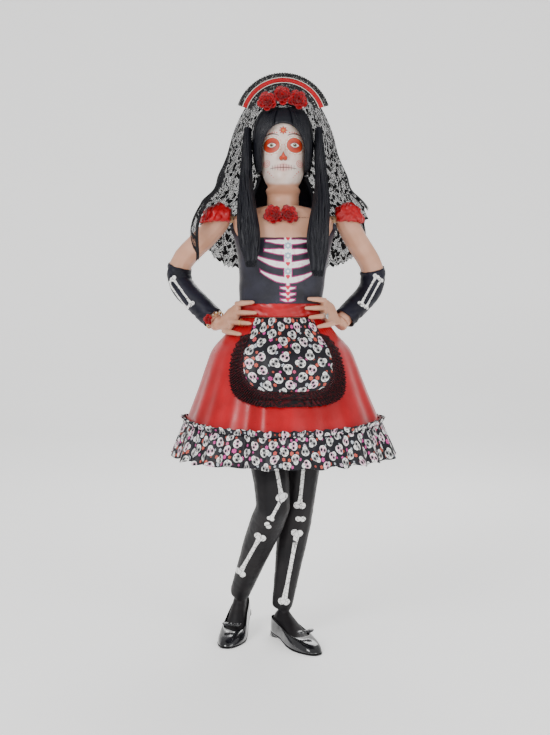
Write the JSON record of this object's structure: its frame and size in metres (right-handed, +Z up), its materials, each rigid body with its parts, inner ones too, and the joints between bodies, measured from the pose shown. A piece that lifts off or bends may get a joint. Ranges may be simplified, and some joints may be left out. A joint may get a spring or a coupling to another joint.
{
  "type": "papier-mache catrina figure",
  "caption": "Life-size papier-mache catrina display figure in a red satin dress, with a turning head, swinging arms, a wig, a lace veil and ballet flats.",
  "frame": {"origin": "on the floor, under the middle of the figure's bounding box", "axes": "+Z up, -Y the way the figure faces, +X towards its left hand"},
  "size_m": [0.653, 0.5828, 1.616],
  "materials": {
    "paper_face": "satin",
    "paper_skin": "satin",
    "limb_skin": "satin",
    "timber": "matte",
    "rod_steel": "satin",
    "hair": "satin",
    "black_knit": "matte",
    "red_satin": "gloss",
    "skull_print": "satin",
    "black_lace": "matte",
    "rose_cloth": "satin",
    "patent_leather": "gloss",
    "gold_trim": "polished",
    "silver_trim": "polished"
  },
  "bodies": {
    "torso": {"hip_block": "timber", "spine_post": "timber", "shoulder_bar": "timber", "right_leg_rod": "rod_steel", "left_leg_rod": "rod_steel", "torso_front_shell": "paper_skin", "torso_back_shell": "paper_skin", "right_leg": "limb_skin", "left_leg": "limb_skin", "tights_brief": "black_knit", "right_tights_leg": "black_knit", "left_tights_leg": "black_knit", "bodice": "black_knit", "skirt": "red_satin", "hem_ruffle": "skull_print", "petticoat": "black_lace", "waistband": "red_satin", "apron": "skull_print", "apron_lace": "black_lace", "apron_bow": "red_satin", "apron_tail_right": "red_satin", "apron_tail_left": "red_satin", "collar_rose_right": "rose_cloth", "collar_rose_left": "rose_cloth", "right_shoe_upper": "patent_leather", "right_shoe_sole": "patent_leather", "right_shoe_heel": "patent_leather", "right_shoe_bow": "patent_leather", "left_shoe_upper": "patent_leather", "left_shoe_sole": "patent_leather", "left_shoe_heel": "patent_leather", "left_shoe_bow": "patent_leather"},
    "head": {"head": "paper_face", "neck_bush": "timber", "wig_cap": "hair", "wig_lock_right": "hair", "wig_lock_left": "hair", "wig_back_fall": "hair", "headband": "black_lace", "crown_backing": "black_lace", "crown_fan": "black_lace", "crown_ribbon": "red_satin", "crown_rose_right": "rose_cloth", "crown_rose_middle": "rose_cloth", "crown_rose_left": "rose_cloth", "veil": "black_lace"},
    "right_arm": {"right_arm": "limb_skin", "right_puff_sleeve": "red_satin", "right_gauntlet": "black_knit", "right_hand": "limb_skin", "right_ring": "gold_trim", "bracelet": "gold_trim", "bracelet_rose": "rose_cloth"},
    "left_arm": {"left_arm": "limb_skin", "left_puff_sleeve": "red_satin", "left_gauntlet": "black_knit", "left_hand": "limb_skin", "left_ring": "silver_trim", "left_ring_stone": "silver_trim"}
  },
  "joints": [
    {"name": "head_turn", "type": "hinge", "parent": "torso", "child": "head", "pos_m": [0.01807, 0.008, 1.244], "axis": [0, 0, 1], "range_deg": [-20, 20], "deforming": ["veil", "wig_lock_right", "wig_lock_left", "wig_back_fall"]},
    {"name": "right_arm_swing", "type": "hinge", "parent": "torso", "child": "right_arm", "pos_m": [-0.12793, 0, 1.206], "axis": [-1, 0, 0], "range_deg": [0, 38]},
    {"name": "left_arm_swing", "type": "hinge", "parent": "torso", "child": "left_arm", "pos_m": [0.16407, 0, 1.206], "axis": [-1, 0, 0], "range_deg": [0, 38]}
  ]
}
